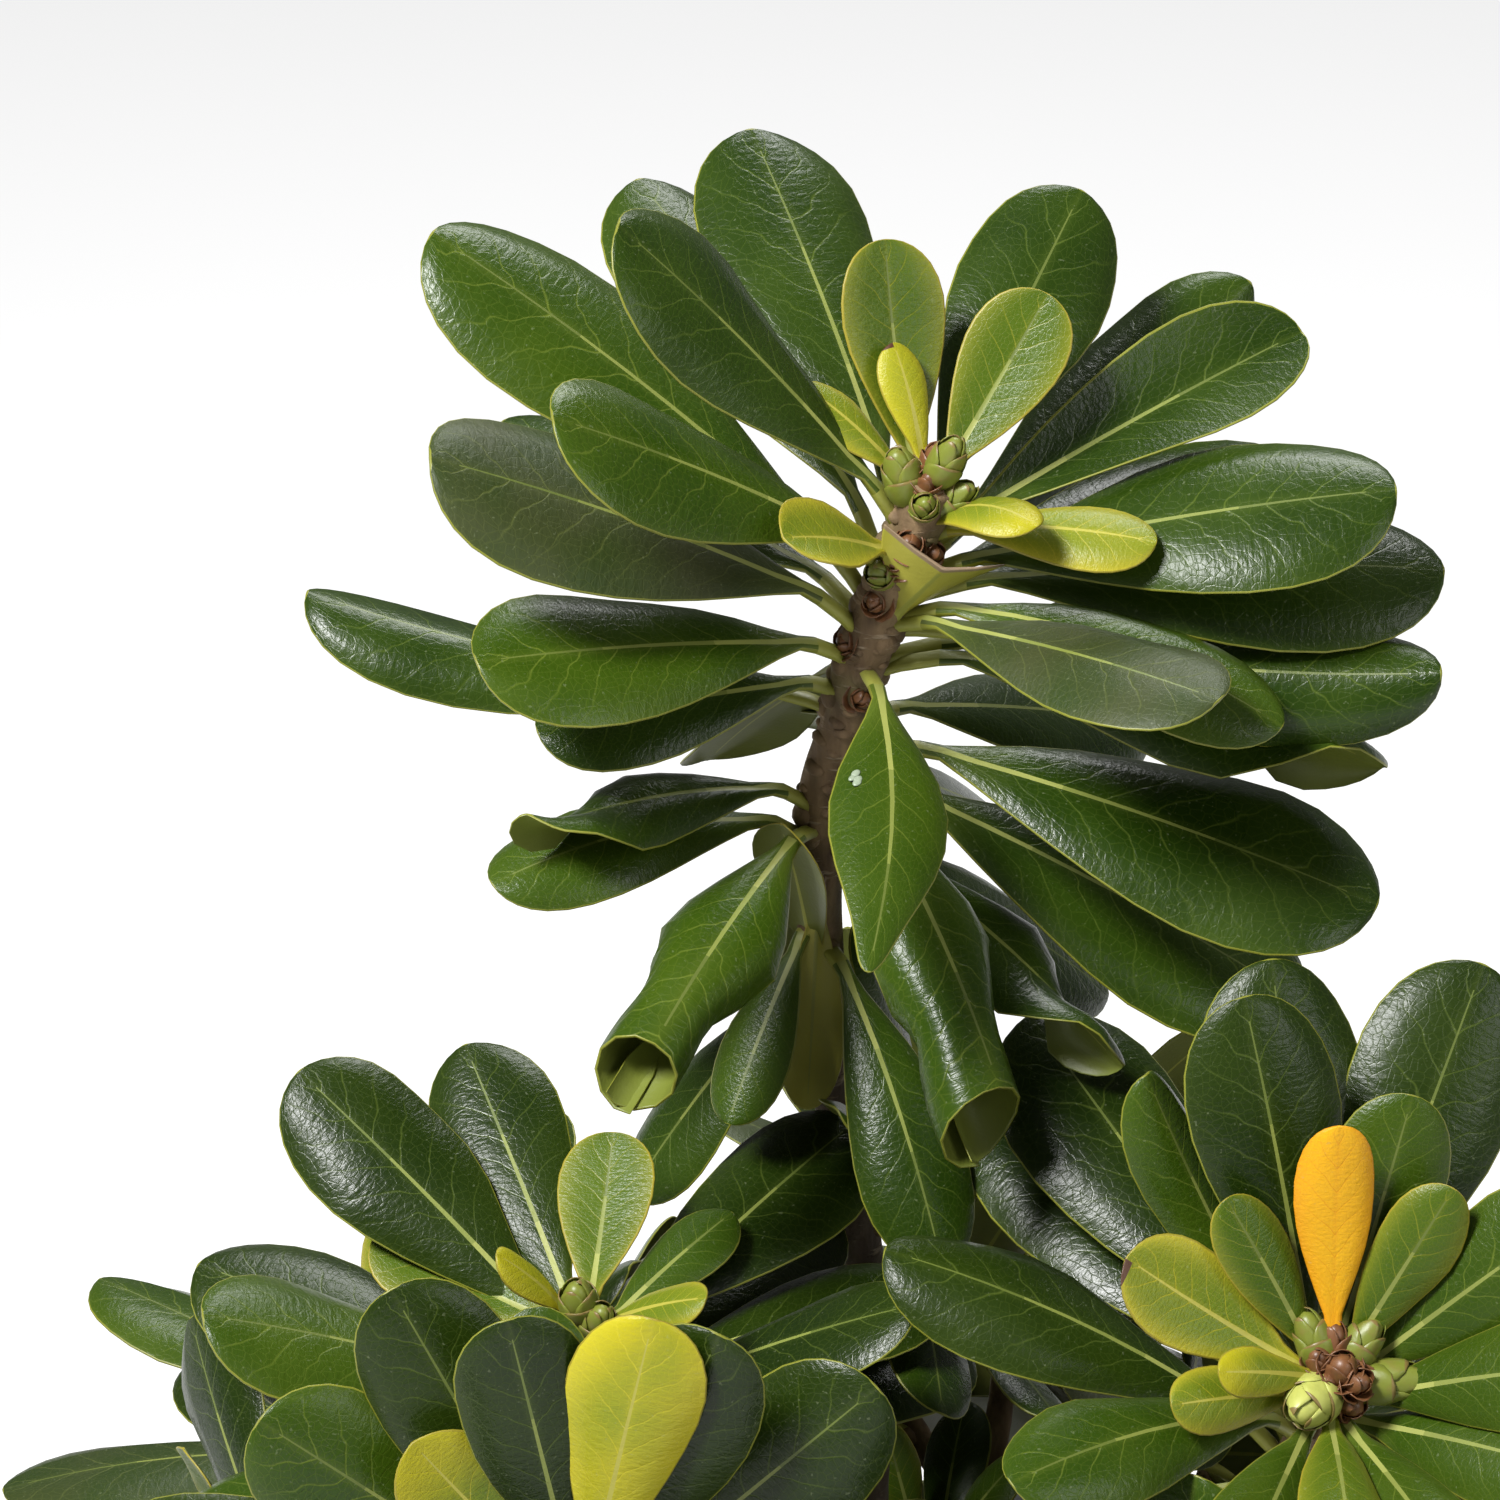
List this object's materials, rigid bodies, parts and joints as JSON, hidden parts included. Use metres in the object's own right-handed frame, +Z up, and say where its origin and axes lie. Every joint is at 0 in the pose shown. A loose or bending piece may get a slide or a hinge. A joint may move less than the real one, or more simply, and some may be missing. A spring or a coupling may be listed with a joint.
{
  "type": "evergreen shrub",
  "caption": "Whole evergreen shrub rooted in the ground: slender trunk, forked boughs and a leaning leading shoot, with whorls of glossy spoon-shaped leaves.",
  "frame": {"origin": "centre of the flat cut under the trunk, at ground level", "axes": "+Z up the trunk, -Y towards the side that the picture shows, +X to the right of that view"},
  "size_m": [0.4587, 0.4387, 0.6396],
  "materials": {
    "bark": "rough grey-brown bark",
    "young_bark": "smoother green-brown bark with leaf scars",
    "foliage": "glossy deep green leaves"
  },
  "bodies": {
    "root": {"trunk": "bark", "leader_foliage": "foliage", "left_front_bough": "young_bark", "left_front_foliage": "foliage", "right_front_bough": "young_bark", "right_front_foliage": "foliage", "left_back_bough": "young_bark", "left_back_foliage": "foliage", "right_back_bough": "young_bark", "right_back_foliage": "foliage", "low_1_bough": "young_bark", "low_1_foliage": "foliage", "low_2_bough": "young_bark", "low_2_foliage": "foliage", "low_3_bough": "young_bark", "low_3_foliage": "foliage", "low_4_bough": "young_bark", "low_4_foliage": "foliage", "low_5_bough": "young_bark", "low_5_foliage": "foliage"}
  },
  "joints": []
}
